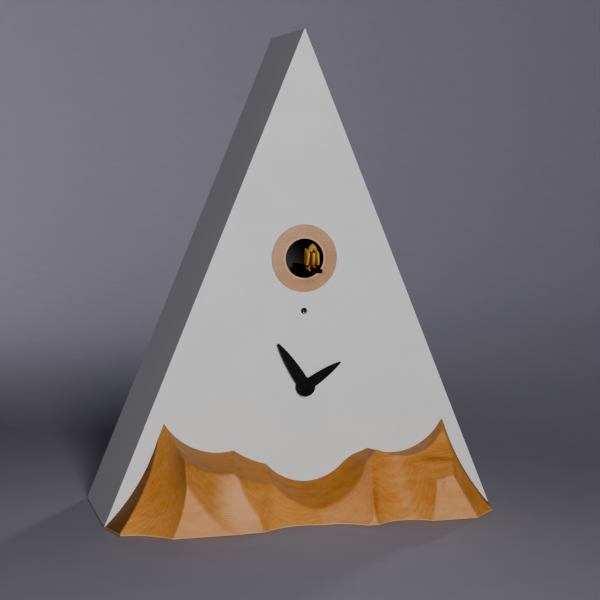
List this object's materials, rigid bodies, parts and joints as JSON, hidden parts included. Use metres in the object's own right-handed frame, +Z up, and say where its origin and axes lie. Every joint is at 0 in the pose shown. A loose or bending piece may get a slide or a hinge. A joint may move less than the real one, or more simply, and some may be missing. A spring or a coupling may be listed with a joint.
{
  "type": "cuckoo clock",
  "caption": "Tall triangular cuckoo clock: lacquered case, carved beech mountain front, leaf hands and a bird that slides out of a ringed hole.",
  "frame": {"origin": "bottom centre of the clock's bounding box, on the surface it stands on", "axes": "+Z up, +Y towards the back, +X to the right of someone facing the dial"},
  "size_m": [0.35, 0.166, 0.4215],
  "materials": {
    "lacquer_white": "satin",
    "beech_oiled": "satin",
    "beech_pale": "satin",
    "raw_mdf": "matte",
    "black_plastic": "matte",
    "grey_plastic": "matte",
    "white_plastic": "matte",
    "black_hand": "matte",
    "brass": "satin",
    "steel": "satin",
    "bird_gold": "gloss",
    "bird_orange": "gloss",
    "bird_mouth": "gloss",
    "clear_resin": "gloss",
    "copper_wire": "satin",
    "magnet_black": "matte",
    "paper_cone": "matte",
    "board_green": "satin",
    "cell_wrap": "satin",
    "felt_grey": "matte",
    "rubber_black": "matte",
    "lead_sleeve": "matte"
  },
  "bodies": {
    "case": {"front_panel": "lacquer_white", "side_left": "lacquer_white", "side_right": "lacquer_white", "base_board": "lacquer_white", "corner_blocks": "raw_mdf", "rear_cover": "black_plastic", "cover_screws": "steel", "hanger_plate": "steel", "hanger_rivets": "steel", "felt_pads": "felt_grey", "carved_mountains": "beech_oiled", "carving_screws": "steel", "opening_ring": "beech_pale", "opening_sleeve": "black_plastic", "sensor_holder": "black_plastic", "light_sensor": "clear_resin", "bush_nut": "brass", "bush_washer": "brass", "movement_gasket": "rubber_black", "movement_front_plate": "grey_plastic", "movement_shell": "grey_plastic", "stator": "steel", "coil": "copper_wire", "circuit_board": "board_green", "slide_frame": "black_plastic", "slide_lid": "black_plastic", "guide_rods": "steel", "gear_pin": "steel", "slide_motor": "steel", "control_board": "board_green", "battery_box": "black_plastic", "battery_contacts": "steel", "battery_cells": "cell_wrap", "speaker_frame": "steel", "speaker_magnet": "magnet_black", "speaker_cone": "paper_cone", "hookup_leads": "lead_sleeve"},
    "minute_train": {"minute_hand": "black_hand", "hand_cap": "black_hand", "centre_arbor": "white_plastic"},
    "hour_train": {"hour_hand": "black_hand", "hour_wheel": "white_plastic"},
    "minute_wheel": {"minute_wheel": "white_plastic"},
    "third_wheel": {"third_wheel": "white_plastic"},
    "fourth_wheel": {"fourth_wheel": "white_plastic"},
    "rotor": {"rotor": "magnet_black"},
    "setting": {"setting_stem": "steel", "setting_knob": "black_plastic"},
    "bird_carriage": {"carriage": "black_plastic", "perch_arm": "black_plastic", "bird_body": "bird_gold", "bird_wings": "bird_gold", "bird_beak": "bird_mouth", "bird_feet": "bird_orange"},
    "drive_gear": {"drive_gear": "white_plastic"},
    "motor_pinion": {"motor_pinion": "brass"},
    "switch_slider": {"switch_slider": "white_plastic"},
    "volume_knob": {"volume_knob": "grey_plastic"},
    "test_button": {"test_button": "grey_plastic"},
    "battery_door": {"battery_door": "black_plastic"}
  },
  "joints": [
    {"name": "minute_hand_turn", "type": "hinge", "parent": "case", "child": "minute_train", "pos_m": [0, -0.0295, 0.1146], "axis": [0, 1, 0], "continuous": true},
    {"name": "hour_hand_turn", "type": "hinge", "parent": "case", "child": "hour_train", "pos_m": [0, -0.0295, 0.1146], "axis": [0, 1, 0], "continuous": true},
    {"name": "minute_wheel_turn", "type": "hinge", "parent": "case", "child": "minute_wheel", "pos_m": [0, -0.0175, 0.1046], "axis": [0, 1, 0], "continuous": true},
    {"name": "third_wheel_turn", "type": "hinge", "parent": "case", "child": "third_wheel", "pos_m": [0.00721, -0.0155, 0.12181], "axis": [0, 1, 0], "continuous": true},
    {"name": "fourth_wheel_turn", "type": "hinge", "parent": "case", "child": "fourth_wheel", "pos_m": [0.00721, -0.0135, 0.12981], "axis": [0, 1, 0], "continuous": true},
    {"name": "rotor_turn", "type": "hinge", "parent": "case", "child": "rotor", "pos_m": [0.00081, -0.0115, 0.12981], "axis": [0, 1, 0], "continuous": true},
    {"name": "setting_knob_turn", "type": "hinge", "parent": "case", "child": "setting", "pos_m": [-0.01125, -0.0095, 0.1046], "axis": [0, 1, 0], "continuous": true},
    {"name": "bird_slide", "type": "slide", "parent": "case", "child": "bird_carriage", "axis": [0, 1, 0], "range_m": [0, 0.042]},
    {"name": "drive_gear_turn", "type": "hinge", "parent": "case", "child": "drive_gear", "pos_m": [0.028, 0.0265, 0.2058], "axis": [0, 0, 1], "range_deg": [-402, 0]},
    {"name": "motor_pinion_turn", "type": "hinge", "parent": "case", "child": "motor_pinion", "pos_m": [0.028, 0.038, 0.2018], "axis": [0, 0, 1], "range_deg": [0, 1445]},
    {"name": "mode_switch_slide", "type": "slide", "parent": "case", "child": "switch_slider", "axis": [1, 0, 0], "range_m": [0, 0.006]},
    {"name": "volume_turn", "type": "hinge", "parent": "case", "child": "volume_knob", "pos_m": [-0.107, 0.0804, 0.047], "axis": [0, -1, 0], "range_deg": [0, 270]},
    {"name": "test_button_press", "type": "slide", "parent": "case", "child": "test_button", "axis": [0, -1, 0], "range_m": [0, 0.0015], "stiffness_N_per_m": 200, "springref_m": -0.001},
    {"name": "battery_door_swing", "type": "hinge", "parent": "case", "child": "battery_door", "pos_m": [0, 0.0794, 0.0163], "axis": [-1, 0, 0], "range_deg": [0, 95]}
  ],
  "couplings": [
    {"joint": "hour_hand_turn", "follows": "minute_hand_turn", "ratio": 0.083333},
    {"joint": "minute_wheel_turn", "follows": "minute_hand_turn", "ratio": -0.33333},
    {"joint": "third_wheel_turn", "follows": "minute_hand_turn", "ratio": -7.5},
    {"joint": "fourth_wheel_turn", "follows": "minute_hand_turn", "ratio": 30},
    {"joint": "rotor_turn", "follows": "minute_hand_turn", "ratio": -90},
    {"joint": "setting_knob_turn", "follows": "minute_hand_turn", "ratio": 0.66667},
    {"joint": "drive_gear_turn", "follows": "bird_slide", "rad_per_m": -166.67},
    {"joint": "motor_pinion_turn", "follows": "bird_slide", "rad_per_m": 600}
  ]
}
